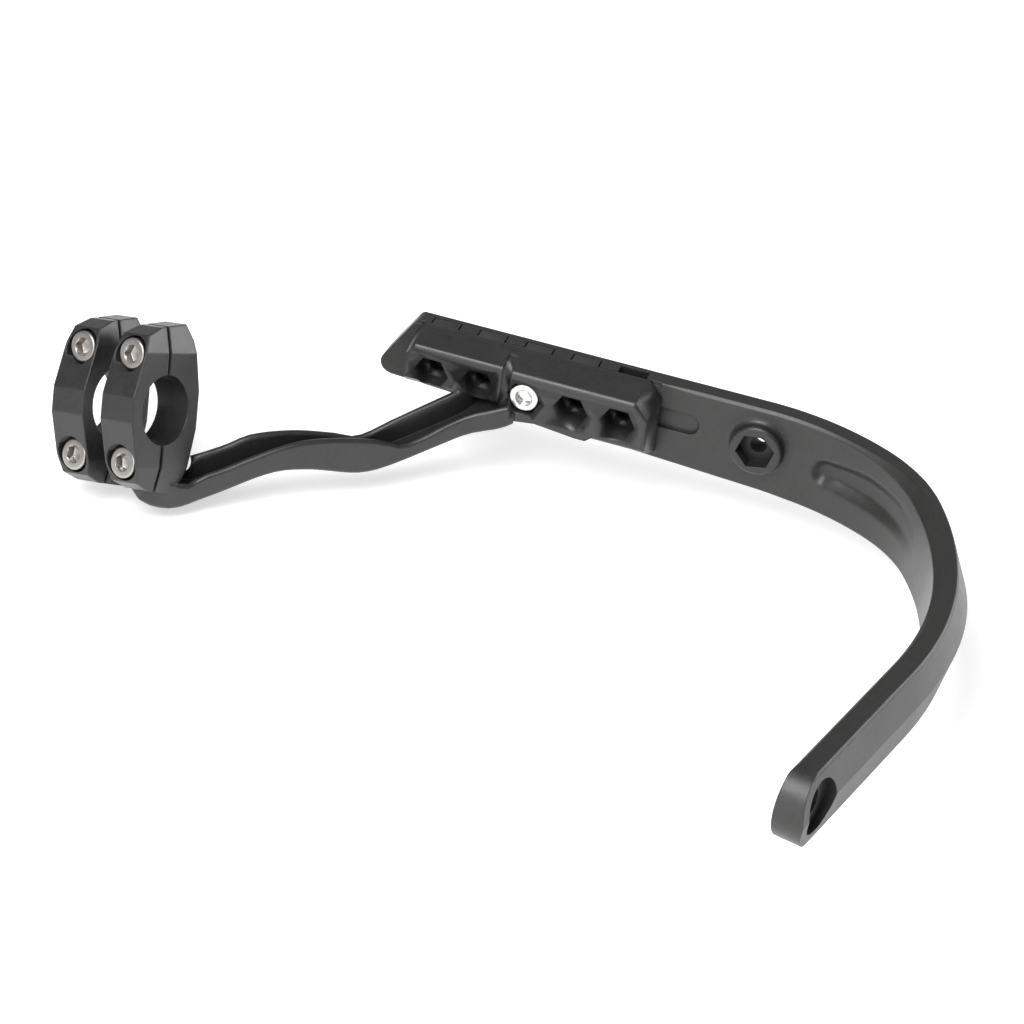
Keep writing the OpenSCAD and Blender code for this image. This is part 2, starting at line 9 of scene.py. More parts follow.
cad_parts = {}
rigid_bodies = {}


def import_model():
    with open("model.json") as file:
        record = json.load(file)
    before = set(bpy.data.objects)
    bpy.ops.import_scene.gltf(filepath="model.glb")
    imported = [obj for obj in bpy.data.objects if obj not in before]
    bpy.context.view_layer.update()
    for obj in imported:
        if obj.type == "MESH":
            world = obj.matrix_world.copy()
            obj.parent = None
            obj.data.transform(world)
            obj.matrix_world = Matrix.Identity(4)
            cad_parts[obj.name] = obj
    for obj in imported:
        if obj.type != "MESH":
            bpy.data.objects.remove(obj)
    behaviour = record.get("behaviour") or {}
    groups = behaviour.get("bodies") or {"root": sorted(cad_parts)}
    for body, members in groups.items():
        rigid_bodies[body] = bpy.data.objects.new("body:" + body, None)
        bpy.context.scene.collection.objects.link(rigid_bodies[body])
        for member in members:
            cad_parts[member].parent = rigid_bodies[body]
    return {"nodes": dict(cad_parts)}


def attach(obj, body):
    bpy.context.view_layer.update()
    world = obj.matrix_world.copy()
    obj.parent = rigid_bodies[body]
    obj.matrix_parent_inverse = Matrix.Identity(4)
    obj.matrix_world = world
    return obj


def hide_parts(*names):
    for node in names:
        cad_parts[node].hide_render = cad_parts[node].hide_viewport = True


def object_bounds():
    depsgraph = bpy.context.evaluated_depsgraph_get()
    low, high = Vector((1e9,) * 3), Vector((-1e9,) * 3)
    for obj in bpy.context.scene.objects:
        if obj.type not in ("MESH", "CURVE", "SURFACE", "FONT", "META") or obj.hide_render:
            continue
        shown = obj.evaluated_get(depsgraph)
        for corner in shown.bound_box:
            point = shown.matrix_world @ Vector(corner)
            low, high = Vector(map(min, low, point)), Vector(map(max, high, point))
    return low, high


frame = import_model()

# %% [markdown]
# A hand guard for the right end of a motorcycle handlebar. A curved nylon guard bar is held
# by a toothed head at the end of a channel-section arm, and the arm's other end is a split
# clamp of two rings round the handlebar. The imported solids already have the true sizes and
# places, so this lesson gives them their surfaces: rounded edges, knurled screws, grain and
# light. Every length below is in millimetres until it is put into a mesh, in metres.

MM = 0.001
cad_low, cad_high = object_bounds()
print("solids:", len(frame["nodes"]), "box in mm:", [round(v / MM, 1) for v in cad_high - cad_low])

# %% [markdown]
# The camera comes first. It looks down on the guard from the rider's side, and a little from
# outboard. A long lens keeps the far ring and the near leg at almost the same scale. The
# camera's own axes are worked out from an azimuth, an elevation and a roll, because three
# angles are easier to correct against a picture than nine numbers of a matrix.

# %% Camera
AIM = np.array([118.6, 41.8, -28.6])
AZIMUTH, ELEVATION, ROLL = np.radians([14.45, 32.65, 7.32])
DISTANCE, LENS = 1100, 119.88
NEAR, FAR = 50, 20000


def place_camera():
    """Puts the camera at the aim point plus its backward axis times the distance."""
    level = np.array([np.cos(AZIMUTH), np.sin(AZIMUTH), 0])
    back = np.array([np.sin(AZIMUTH) * np.cos(ELEVATION), -np.cos(AZIMUTH) * np.cos(ELEVATION),
                     np.sin(ELEVATION)])
    rise = np.cross(back, level)
    right = np.cos(ROLL) * level + np.sin(ROLL) * rise
    up = np.cos(ROLL) * rise - np.sin(ROLL) * level
    camera = bpy.data.objects.new("camera", bpy.data.cameras.new("camera"))
    turn = np.eye(4)
    turn[:3, 0], turn[:3, 1], turn[:3, 2] = right, up, back
    turn[:3, 3] = (AIM + DISTANCE * back) * MM
    camera.matrix_world = Matrix(turn.tolist())
    camera.data.lens = LENS
    camera.data.clip_start, camera.data.clip_end = NEAR * MM, FAR * MM
    bpy.context.scene.collection.objects.link(camera)
    bpy.context.scene.camera = camera
    return camera


print("camera at", [round(v, 3) for v in place_camera().matrix_world.translation])

# %% [markdown]
# A surface here is a grid of points: one direction runs round a section, and the other runs
# from section to section. Numpy works out all the points at once, and this helper turns the
# grid into a closed mesh, with a lid on the first and the last section. Where the volume
# comes out negative, the faces look inwards and are turned round.

# %% From a grid of points to a closed mesh


def in_metres(points):
    """Millimetres times a thousandth."""
    return np.asarray(points, float) * MM


def turn_outwards(mesh):
    """Flips the faces where the volume that they enclose comes out negative."""
    work = bmesh.new()
    work.from_mesh(mesh)
    inside_out = work.calc_volume(signed=True) < 0
    work.free()
    if inside_out:
        mesh.flip_normals()


def skin(name, rings):
    """A closed mesh through rings of points, an array of shape (rings, points, 3) in millimetres.

    Point j of ring i joins to its neighbours round the ring and to point j of ring i + 1."""
    count, width = rings.shape[:2]
    i, j = np.meshgrid(np.arange(count - 1), np.arange(width), indexing="ij")
    k = (j + 1) % width
    sides = np.stack([i * width + j, i * width + k, (i + 1) * width + k, (i + 1) * width + j], -1)
    lids = [list(range(width - 1, -1, -1)), list(range((count - 1) * width, count * width))]
    mesh = bpy.data.meshes.new(name)
    mesh.from_pydata(in_metres(rings.reshape(-1, 3)).tolist(), [], sides.reshape(-1, 4).tolist() + lids)
    mesh.update()
    turn_outwards(mesh)
    piece = bpy.data.objects.new(name, mesh)
    bpy.context.scene.collection.objects.link(piece)
    return piece


def rounded(corners, radii, steps=6):
    """Outlines with round corners, for many sections at once.

    corners has shape (sections, corners, 2) and radii (sections, corners). A corner becomes an
    arc that touches both of its sides, at radius over tan(half angle) from the corner, and its
    points turn evenly from one touching point to the other about the arc's centre."""
    before = np.roll(corners, 1, axis=1) - corners
    after = np.roll(corners, -1, axis=1) - corners
    before /= np.linalg.norm(before, axis=-1, keepdims=True)
    after /= np.linalg.norm(after, axis=-1, keepdims=True)
    half = np.arccos(np.clip((before * after).sum(-1), -0.9999, 0.9999)) / 2
    touch = (radii / np.tan(half))[..., None]
    centre = corners + (before + after) / np.linalg.norm(before + after, axis=-1, keepdims=True) \
        * (radii / np.sin(half))[..., None]
    start = corners + before * touch - centre
    end = corners + after * touch - centre
    sweep = np.pi - 2 * half
    share = np.linspace(0, 1, steps)[None, None, :]
    first = (np.sin((1 - share) * sweep[..., None]) / np.sin(sweep)[..., None])[..., None]
    last = (np.sin(share * sweep[..., None]) / np.sin(sweep)[..., None])[..., None]
    arcs = centre[..., None, :] + first * start[..., None, :] + last * end[..., None, :]
    return arcs.reshape(len(corners), -1, 2)


def ease(x, low, high):
    """Smooth step: 0 below low, 1 above high, and 3t^2 - 2t^3 in between."""
    t = np.clip((x - low) / (high - low), 0, 1)
    return t * t * (3 - 2 * t)


print("helpers ready")

# %% [markdown]
# Cuts and joins of whole meshes go through the Boolean modifier. It is applied at once, so
# that the finished piece is one plain mesh, and the tool that cut it is thrown away. A cut
# can leave slivers a few thousandths of a millimetre wide, and welding takes them out.

# %% Cutting and joining
WELD = 0.003


def apply_modifiers(piece):
    """Puts the mesh that the modifiers make in the place of the piece's own."""
    mesh = bpy.data.meshes.new_from_object(
        piece.evaluated_get(bpy.context.evaluated_depsgraph_get()))
    piece.modifiers.clear()
    piece.data = mesh


def weld(piece):
    """Joins corners that lie almost on each other, and with them the slivers that a cut leaves."""
    work = bmesh.new()
    work.from_mesh(piece.data)
    bmesh.ops.triangulate(work, faces=work.faces)
    bmesh.ops.dissolve_degenerate(work, dist=WELD * MM, edges=work.edges)
    bmesh.ops.remove_doubles(work, verts=work.verts, dist=WELD * MM)
    bmesh.ops.triangulate(work, faces=work.faces)
    work.to_mesh(piece.data)
    work.free()


def combine(piece, tools, operation):
    """Cuts the tools out of the piece (DIFFERENCE) or joins them to it (UNION), one by one."""
    for tool in tools:
        step = piece.modifiers.new(tool.name, "BOOLEAN")
        step.operation = operation
        step.object = tool
        step.solver = "EXACT"
        bpy.context.view_layer.update()
        apply_modifiers(piece)
        bpy.data.objects.remove(tool)
    weld(piece)
    return piece


def circle(radius, steps=48):
    """Points at even angles round a circle."""
    a = np.linspace(0, 2 * np.pi, steps, endpoint=False)
    return np.stack([radius * np.cos(a), radius * np.sin(a)], -1)


def hexagon(across_flats, turn=0):
    """A hexagon's corners, at half its width over cos 30 from its middle."""
    a = np.radians(turn + 60 * np.arange(6))
    return across_flats / 2 / np.cos(np.pi / 6) * np.stack([np.cos(a), np.sin(a)], -1)


class Place:
    """A place in the part: an origin and three directions, all in the part's own axes."""

    def __init__(self, origin, x, y, z):
        self.origin = np.array(origin, float)
        self.axes = np.array([x, y, z], float)

    def at(self, points):
        """Local points (..., 3) to the part's axes: the origin plus each axis times its number."""
        return self.origin + np.asarray(points, float) @ self.axes

    def moved(self, x, y, z):
        """The same directions from another origin, so far along each of them."""
        return Place(self.at([x, y, z]), *self.axes)


def prism(name, outline, place, low, high):
    """An outline in the place's X and Y, pushed from low to high along its Z."""
    flat = np.asarray(outline, float)
    levels = np.array([low, high], float)
    rings = np.empty((2, len(flat), 3))
    rings[..., :2] = flat
    rings[..., 2] = levels[:, None]
    return skin(name, place.at(rings))


def turned(name, profile, place, steps=64):
    """A profile of (radius, height) pairs turned round the place's Z."""
    pairs = np.asarray(profile, float)
    a = np.linspace(0, 2 * np.pi, steps, endpoint=False)
    rings = np.stack([pairs[:, :1] * np.cos(a), pairs[:, :1] * np.sin(a),
                      np.repeat(pairs[:, 1:], steps, axis=1)], -1)
    return skin(name, place.at(rings))


print("cutting tools ready")

# %% [markdown]
# Two places come back again and again: the adjuster head, and the clamp, which leans with the
# handlebar. The handlebar sweeps back towards the rider and rises outboard, and the rings are
# turned about it. The head's X runs along the bar, its Y outwards and its Z up. The clamp's X
# points from its caps to its bases, its Y up and its Z outboard along the handlebar.

# %% The head's and the clamp's places
HEAD = Place([112.5, 60.5, 2], [1, 0, 0], [0, 1, 0], [0, 0, 1])
BAR_SWEEP, BAR_RISE, CLAMP_TURN = np.radians([16, 16, 22])
RING_PITCH, CLAMP_SCREW_PITCH = 20.4, 34


def clamp_place():
    """X from caps to bases, Y up, Z outboard: the bar's direction and two more turned about it."""
    bar = np.array([np.cos(BAR_SWEEP) * np.cos(BAR_RISE), -np.sin(BAR_SWEEP) * np.cos(BAR_RISE),
                    np.sin(BAR_RISE)])
    level = np.array([np.sin(BAR_SWEEP), np.cos(BAR_SWEEP), 0])
    upright = np.cross(bar, level)
    x = np.cos(CLAMP_TURN) * level - np.sin(CLAMP_TURN) * upright
    return Place([0, 0, 0], x, np.cross(bar, x), bar)


CLAMP = clamp_place()
print("clamp axes:", CLAMP.axes.round(3).tolist())

# %% [markdown]
# The guard bar is moulded in one piece. Its inner face follows a plan curve: straight along
# the head, then three arcs of different radii, then straight again. The section changes on
# the way, so a Curve object with one bevel outline can't make it. Carrying a section along
# the curve with numpy lets every size be its own function of the distance s.

# %% The guard bar's plan curve
SPAR_STRAIGHT, SPAR_TAIL, SPAR_Y = 77, 53, 11.5
ARC_RADII = np.array([75, 49, 126.0])
ARC_TURNS = np.radians([31.5, 29.5, 42])
RETURN_LEN = 71
ARC_LENGTHS = ARC_RADII * ARC_TURNS
ARC_STARTS = SPAR_STRAIGHT + np.concatenate([[0], np.cumsum(ARC_LENGTHS)])
BEND_END = ARC_STARTS[-1]
SPAR_END = BEND_END + RETURN_LEN


def heading(s):
    """How far the curve has turned at s: each arc adds its length so far over its radius."""
    along = np.clip(s[:, None] - ARC_STARTS[:-1], 0, ARC_LENGTHS)
    return (along / ARC_RADII).sum(1)


def face_line(s):
    """Points of the inner face's line in plan: each arc adds a chord turned by the heading where
    it starts, and the straight ends add their lengths along the first and last heading."""
    begin = np.concatenate([[0], np.cumsum(ARC_TURNS)])
    line = np.stack([np.minimum(s, SPAR_STRAIGHT), np.full_like(s, SPAR_Y)], -1)
    for radius, start, length, turn in zip(ARC_RADII, ARC_STARTS, ARC_LENGTHS, begin):
        a = np.clip(s - start, 0, length) / radius
        chord = np.stack([radius * np.sin(a), -radius * (1 - np.cos(a))], -1)
        line += chord @ np.array([[np.cos(turn), -np.sin(turn)], [np.sin(turn), np.cos(turn)]])
    rest = np.maximum(0, s - BEND_END)[:, None]
    return line + rest * np.array([np.cos(begin[-1]), -np.sin(begin[-1])])


print("guard bar: the bend ends at", round(float(BEND_END), 1), "mm and the bar at",
      round(float(SPAR_END), 1), "mm")

# %% [markdown]
# The section has a flat inner face, rounded edges and an outer face that stands out along its
# middle, most of all on the outside of the bend. Behind the head the inner top edge is almost
# sharp, so that the seam beside the head stays a fine line. In the bend it widens into a
# sloping band, and a finger-wide trough is pressed into the inner face. The parting line of
# the mould runs as a fine groove just below the outer top edge. What changes along the bar
# eases from one value to the next, and each such run has a name: its start and its end on s.

# %% The guard bar's section
SPAR_TOP, SPAR_LOW_INBOARD, SPAR_LOW_BEND, SPAR_LOW_RETURN = 12.3, -10.4, -18, -12
SPAR_T, RETURN_T, SPAR_CROWN, BEND_CROWN = 6.8, 7, 1.6, 3.8
SEAM_BEVEL, EDGE_BEVEL, BEND_BEVEL, BAND_LEG = 0.3, 0.9, 2.7, 1.15
CROWN_LOSS, CROWN_BELOW = 0.7, 0.3
EDGE_R, RIDGE_R, LOW_OUTER_R = 0.9, 1.0, 1.1
# The radii of the band's two edges: without a band, and what each millimetre of it adds.
BAND_LOW_R, BAND_TOP_R = (0.35, 0.55), (0.25, 0.25)
LINE_DEPTH, LINE_W, LINE_BELOW = 0.22, 0.45, 0.35
TROUGH_DEPTH, TROUGH_H, TROUGH_MID, TROUGH_WIDEN, TROUGH_STEEP = 2.6, 11, -3.2, 0.55, 0.62
TROUGH_START, TROUGH_BOWL = SPAR_STRAIGHT + 17.5, 8
HEAD_END, SPARE = 41, 4
ARC_STEPS, FACE_STEPS = 7, 44
APEX = ARC_STARTS[2] + 0.2 * ARC_LENGTHS[2]

# The runs along the bar.
TAPERS = -SPAR_TAIL, SPAR_STRAIGHT + 10
LOW_EDGE_RISES = SPAR_STRAIGHT + 20, BEND_END
PAST_HEAD = HEAD_END + 2, HEAD_END + 12
THICKENS = ARC_STARTS[0], ARC_STARTS[2]
BAND_WIDENS = ARC_STARTS[0] + 0.7 * ARC_LENGTHS[0], ARC_STARTS[2]
BAND_NARROWS = ARC_STARTS[2] + 25, BEND_END
CROWN_RISES = ARC_STARTS[0] + 0.3 * ARC_LENGTHS[0], APEX - 12
CROWN_SINKS = APEX + 10, BEND_END
TROUGH_SOFTENS = TROUGH_START + 2, TROUGH_START + 9
TROUGH_OPENS = TROUGH_START + 2, TROUGH_START + 22
TROUGH_FADES = ARC_STARTS[1] - 4, ARC_STARTS[2] + 8


def lower_edge(s):
    """Level of the lower edge: a straight slope to the bend, then a smooth rise to the returning leg."""
    begin, end = TAPERS
    share = np.clip((s - begin) / (end - begin), 0, 1)
    slope = SPAR_LOW_INBOARD + (SPAR_LOW_BEND - SPAR_LOW_INBOARD) * share
    return slope + (SPAR_LOW_RETURN - SPAR_LOW_BEND) * ease(s, *LOW_EDGE_RISES)


def trough(s, level):
    """Depth of the trough: a bowl at its start, then a steep upper side and a long soft lower side.

    How far a point is inside is 1 less its distance from the middle line over the half height.
    The line begins half a height after the start, and a level above it is first divided by what
    the trough has opened upwards. The depth eases in over that share, and over more of it below
    the line than above."""
    half = TROUGH_H / 2
    rise = level - TROUGH_MID
    upward = 1 + TROUGH_WIDEN * ease(s, *TROUGH_OPENS)[:, None]
    across = np.where(rise > 0, rise / upward, rise)
    before = np.maximum(0, TROUGH_START + half - s)[:, None]
    inside = 1 - np.sqrt(before ** 2 + across ** 2) / half
    below, further_on = ease(-across / half, -0.25, 0.5), ease(s, *TROUGH_SOFTENS)[:, None]
    soft = TROUGH_STEEP + (1 - TROUGH_STEEP) * below * further_on
    depth = TROUGH_DEPTH * (1 - ease(s, *TROUGH_FADES))
    return depth[:, None] * ease(inside / soft, 0, 1)


def bar_sections(s):
    """Sections of (depth outwards from the inner face, level), one for each distance s.

    Six corners go round the section from the lower inner edge: the sloping band has two of them,
    and the outer face's ridge one. The band's two radii grow with its width."""
    low = lower_edge(s)
    thick = SPAR_T + (RETURN_T - SPAR_T) * ease(s, *THICKENS)
    band = SEAM_BEVEL + (EDGE_BEVEL - SEAM_BEVEL) * ease(s, *PAST_HEAD) \
        + (BEND_BEVEL - EDGE_BEVEL) * ease(s, *BAND_WIDENS) * (1 - ease(s, *BAND_NARROWS))
    crown = SPAR_CROWN + BEND_CROWN * ease(s, *CROWN_RISES) * (1 - CROWN_LOSS * ease(s, *CROWN_SINKS))
    leg = BAND_LEG * band
    middle = (SPAR_TOP + low) / 2
    zero, one, top = np.zeros_like(s), np.ones_like(s), np.full_like(s, SPAR_TOP)
    pairs = [(zero, low), (zero, top - leg), (leg, top), (thick, top), (thick + crown, middle),
             (thick + CROWN_BELOW * crown, low)]
    corners = np.stack([np.stack(pair, -1) for pair in pairs], 1)
    band_radii = [least + more * band for least, more in (BAND_LOW_R, BAND_TOP_R)]
    radii = np.stack([EDGE_R * one, *band_radii, EDGE_R * one, RIDGE_R * one, LOW_OUTER_R * one], 1)
    arcs = rounded(corners, radii, ARC_STEPS).reshape(len(s), len(pairs), ARC_STEPS, 2)
    start, end = arcs[:, 0, -1], arcs[:, 1, 0]
    share = (np.arange(1, FACE_STEPS) / FACE_STEPS)[None, :, None]
    face = start[:, None] * (1 - share) + end[:, None] * share
    face[..., 0] += trough(s, face[..., 1])
    return np.concatenate([arcs[:, 0], face, arcs[:, 1], arcs[:, 2], arcs[:, 3],
                           parting_line(arcs[:, 3, -1], arcs[:, 4, 0]), arcs[:, 4], arcs[:, 5]], 1)


def parting_line(upper, lower):
    """Three points of a small notch in the outer face, a little below its upper end."""
    run = lower - upper
    length = np.linalg.norm(run, axis=-1, keepdims=True)
    along = run / length
    inward = np.stack([-along[:, 1], along[:, 0]], -1)
    inward *= np.where(inward[:, :1] > 0, -1, 1)
    begin = upper + along * LINE_BELOW
    return np.stack([begin, begin + along * LINE_W / 2 + inward * LINE_DEPTH, begin + along * LINE_W], 1)


def stations():
    """Distances along the bar: wide steps on straight lengths, narrow ones in the trough and the bend.

    Each length is given as its start, its end and its number of steps."""
    bowl_end = TROUGH_START + TROUGH_BOWL
    lengths = [(-SPAR_TAIL - SPARE, SPAR_STRAIGHT, 24), (SPAR_STRAIGHT, TROUGH_START, 10),
               (TROUGH_START, bowl_end, 30), (bowl_end, BEND_END, 130)]
    steps = [np.linspace(low, high, count, endpoint=False) for low, high, count in lengths]
    return np.concatenate(steps + [np.linspace(BEND_END, SPAR_END, 12)])


def bar_body():
    """The section's depth goes along the outward direction at each station, and its level along Z."""
    s = stations()
    turn, line, section = heading(s), face_line(s), bar_sections(s)
    outward = np.stack([np.sin(turn), np.cos(turn)], -1)
    plan = line[:, None] + section[..., :1] * outward[:, None]
    return skin("guard_bar", HEAD.at(np.concatenate([plan, section[..., 1:]], -1)))


guard_bar = bar_body()
print("guard bar body:", len(guard_bar.data.polygons), "faces")

# %% [markdown]
# What is cut into the bar comes next: five notches for the head's tabs, the seam behind the
# head, the shallow slot that the head slides along, the screw holes, and the shapes of both
# ends. The boss for the hand shield is turned and joined on. Each tool is a plain closed
# shape. Its outline is given in X along the bar and Y up, and its depth from the bar's inner
# face outwards. It starts a little before the face that it cuts, and one that makes a hole
# ends well beyond the wall.

# %% The guard bar's boss, notches, slot and holes
POCKET_PITCH, TAB_W, TAB_REACH, TAB_T, ROOM = 16, 8.8, 4, 3, 0.5
SEAM_W, SEAM_DEPTH, SEAM_PAST = 0.45, 1.2, 1.2
SLOT_H, SLOT_BACK, SLOT_REACH, SLOT_DEPTH = 7.6, -37, 52.6, 1.2
BOSS_X, BOSS_Z, BOSS_BASE_R, BOSS_RIM_R, BOSS_H = 76.3, -1.4, 11, 8.7, 3.8
BOSS_FILLET_H, BOSS_ROUND, BOSS_LAND, BOSS_LIFT, BOSS_ROOT = 2.0, 1.3, 2, 0.02, 1
BOSS_AF, BOSS_TURN, BOSS_POCKET_FLOOR = 11.2, 12, 0.8
HOLE_R, SHIELD_HOLE_R, NUT_SINK, NUT_POCKET_AF = 3.2, 2.7, 1.6, 10.4
END_HOLE_R, END_SEAT_R, END_SEAT_FLOOR = 4.2, 8.5, 6
NOSE_R, NOSE_X, NOSE_RISE, NOSE_ARC = 4, 4.4, 4.3, (150, 262)
NOSE_TOP_X, NOSE_TOP_R = 11.4, 3.7
# How far a tool starts before what it cuts and ends beyond it, and a radius as good as none.
OVER, WELL_OVER, BEYOND, THROUGH, FAR_THROUGH, POINT = 1, 5, 20, 30, 40, 0.01
OUTWARD = Place(HEAD.at([0, SPAR_Y, 0]), [1, 0, 0], [0, 0, 1], [0, 1, 0])


def face_place(s, level=0):
    """A place on the inner face at s: X along the bar, Y up, Z outwards."""
    s = np.array([float(s)])
    turn, point = heading(s)[0], face_line(s)[0]
    along = [np.cos(turn), -np.sin(turn), 0]
    outward = [np.sin(turn), np.cos(turn), 0]
    return Place(HEAD.at([point[0], point[1], level]), along, [0, 0, 1], outward)


def boss():
    """The boss's profile: a fillet up from the face, the rim's wall, and a rounded rim.

    Both roundings are quarter turns, of an ellipse at the foot and of a circle at the rim."""
    a = np.linspace(0, np.pi / 2, 9)
    foot = BOSS_BASE_R - BOSS_RIM_R
    fillet = np.stack([BOSS_RIM_R + foot * (1 - np.sin(a)),
                       BOSS_LIFT + BOSS_FILLET_H * (1 - np.cos(a))], -1)
    rim = np.stack([BOSS_RIM_R - BOSS_ROUND * (1 - np.cos(a)), BOSS_H - BOSS_ROUND * (1 - np.sin(a))], -1)
    root = [[POINT, -BOSS_ROOT], [BOSS_BASE_R, -BOSS_ROOT]]
    profile = np.concatenate([root, fillet, rim, [[BOSS_RIM_R - BOSS_LAND, BOSS_H], [POINT, BOSS_H]]])
    profile[:, 1] *= -1
    return turned("boss", profile, OUTWARD.moved(BOSS_X, BOSS_Z, 0), 96)


def notches():
    """A box for each tab: pitch times its number, wider than the tab by the room on both sides."""
    half, floor, top = TAB_W / 2 + ROOM, SPAR_TOP - TAB_T - ROOM, SPAR_TOP + TAB_T
    outline = [[-half, floor], [half, floor], [half, top], [-half, top]]
    return [prism("notch", outline, OUTWARD.moved(i * POCKET_PITCH, 0, 0), -OVER, TAB_REACH + ROOM)
            for i in range(-2, 3)]


def seam():
    """A thin groove at the bar's top behind the head, which makes the seam beside the head a line."""
    begin, end = -SPAR_TAIL - SPARE - 2 * OVER, HEAD_END + SEAM_PAST
    floor, top = SPAR_TOP - SEAM_DEPTH, SPAR_TOP + OVER
    return prism("seam", [[begin, floor], [end, floor], [end, top], [begin, top]], OUTWARD, -OVER, SEAM_W)


def slot():
    """A stadium: two half circles joined by straight sides."""
    ends = circle(SLOT_H / 2, 48)
    ends[:, 0] += np.where(ends[:, 0] > 0, SLOT_REACH, SLOT_BACK)
    return prism("slot", ends, OUTWARD, -OVER, SLOT_DEPTH)


def holes():
    """The screws' round holes and the hexagon pockets of their nuts."""
    shield = OUTWARD.moved(BOSS_X, BOSS_Z, -BOSS_H)
    end = face_place(SPAR_END - (SPAR_TOP - SPAR_LOW_RETURN) / 2, (SPAR_TOP + SPAR_LOW_RETURN) / 2)
    return [prism("bolt_hole", circle(HOLE_R), OUTWARD, -2 * OVER, THROUGH),
            prism("nut_pocket", hexagon(NUT_POCKET_AF), OUTWARD, SPAR_T - NUT_SINK, THROUGH),
            prism("shield_pocket", hexagon(BOSS_AF, BOSS_TURN), shield, -2 * OVER,
                  BOSS_H + BOSS_POCKET_FLOOR),
            prism("shield_hole", circle(SHIELD_HOLE_R), shield, 0, FAR_THROUGH),
            prism("end_hole", circle(END_HOLE_R), end, -2 * OVER, THROUGH),
            prism("end_seat", circle(END_SEAT_R, 64), end, END_SEAT_FLOOR, THROUGH)]


def nose_tool():
    """What the inboard end loses, seen from the rider: all that lies outside its slanted, round outline.

    An arc rounds the lower corner. A straight slant goes from it to a smaller arc at the top."""
    a = np.radians(np.linspace(*NOSE_ARC, 20))
    low = np.stack([-SPAR_TAIL + NOSE_X + NOSE_R * np.cos(a),
                    SPAR_LOW_INBOARD + NOSE_RISE + NOSE_R * np.sin(a)], -1)
    edges = np.array([[[0, SPAR_TOP], [-SPAR_TAIL + NOSE_TOP_X, SPAR_TOP], low[0]]])
    corner = rounded(edges, np.array([[POINT, NOSE_TOP_R, POINT]]))[0, 6:12]
    inner = np.concatenate([[[corner[0, 0], SPAR_TOP + OVER]], corner, low])
    far = -SPAR_TAIL - BEYOND
    outer = [[low[-1, 0], -THROUGH], [far, -THROUGH], [far, SPAR_TOP + OVER]]
    return prism("nose", np.concatenate([inner, outer]), OUTWARD, -WELL_OVER, BEYOND)


def end_tool():
    """What the returning leg's end loses: all but a half circle as high as the leg."""
    middle, r = (SPAR_TOP + SPAR_LOW_RETURN) / 2, (SPAR_TOP - SPAR_LOW_RETURN) / 2
    a = np.linspace(np.pi / 2, -np.pi / 2, 48)
    arc = np.stack([-r + r * np.cos(a), middle + r * np.sin(a)], -1)
    outer = [[-r, -FAR_THROUGH], [BEYOND, -FAR_THROUGH], [BEYOND, FAR_THROUGH], [-r, FAR_THROUGH]]
    return prism("end", np.concatenate([arc, outer]), face_place(SPAR_END), -WELL_OVER, THROUGH)


combine(guard_bar, [boss()], "UNION")
combine(guard_bar, notches() + [seam(), slot()] + holes() + [nose_tool(), end_tool()], "DIFFERENCE")
print("guard bar:", len(guard_bar.data.polygons), "faces")

# %% [markdown]
# The arm, its head and the two clamp caps are right as solids: their flat faces, chamfers and
# bores are the form of the moulded parts. They come in as loose triangles, so a copy is
# merged, and its flat areas are joined to single faces. Edges that turn by more than a
# given angle stay sharp, and the rest is shaded as one smooth surface.

# %% Merged copies of the moulded solids
MERGE = 0.002
FLAT_ANGLE, SMOOTH_ANGLE = np.radians([0.6, 32])


def smooth_by_angle(piece):
    """Smooth shading everywhere except over edges that turn by more than the angle.

    A corner's normal is the mean of its faces' normals, each as heavy as its face is large, so
    that a large flat face stays flat next to small ones."""
    piece.data.shade_smooth()
    piece.data.set_sharp_from_angle(angle=SMOOTH_ANGLE)
    weigh = piece.modifiers.new("weigh", "WEIGHTED_NORMAL")
    weigh.mode, weigh.keep_sharp = "FACE_AREA", True


def moulded_copy(node, name):
    """A node's mesh with its doubles merged and its coplanar triangles dissolved into faces."""
    work = bmesh.new()
    work.from_mesh(frame["nodes"][node].data)
    bmesh.ops.remove_doubles(work, verts=work.verts, dist=MERGE * MM)
    bmesh.ops.dissolve_limit(work, angle_limit=FLAT_ANGLE, verts=work.verts, edges=work.edges)
    mesh = bpy.data.meshes.new(name)
    work.to_mesh(mesh)
    work.free()
    piece = bpy.data.objects.new(name, mesh)
    bpy.context.scene.collection.objects.link(piece)
    return piece


arm_casting = moulded_copy("mount_arm", "arm_casting")
inner_cap = moulded_copy("clamp_cap_inner", "inner_cap")
outer_cap = moulded_copy("clamp_cap_outer", "outer_cap")
for piece in (arm_casting, inner_cap, outer_cap):
    print(piece.name, len(piece.data.polygons), "faces")

# %% [markdown]
# The head's front edges are sharp in the solid, and rounded on the moulded part, where they
# catch the light as soft bright lines. A Bevel modifier would round every edge of the arm by
# one width. Here each edge gets a tool of its own, shaped like what a file would take off.

# %% The head's rounded front edges
HEAD_HALF, FRONT_TOP, FRONT_STEP = 41, 9, 0.8
BEVEL_IN, BEVEL_OUT, BEVEL_DROP = 4.2, 0.6, 5.2
GROOVE_LOW_X, GROOVE_HIGH_X, INBOARD_CHAMFER, END_FOOT = -8.2, -4.8, 2.6, -12
OUTBOARD_R, BEVEL_R, END_R, INBOARD_R = 1.9, 1.7, 0.9, 1.5
BEVEL_NORMAL = [0.696, -0.319, 0.643]


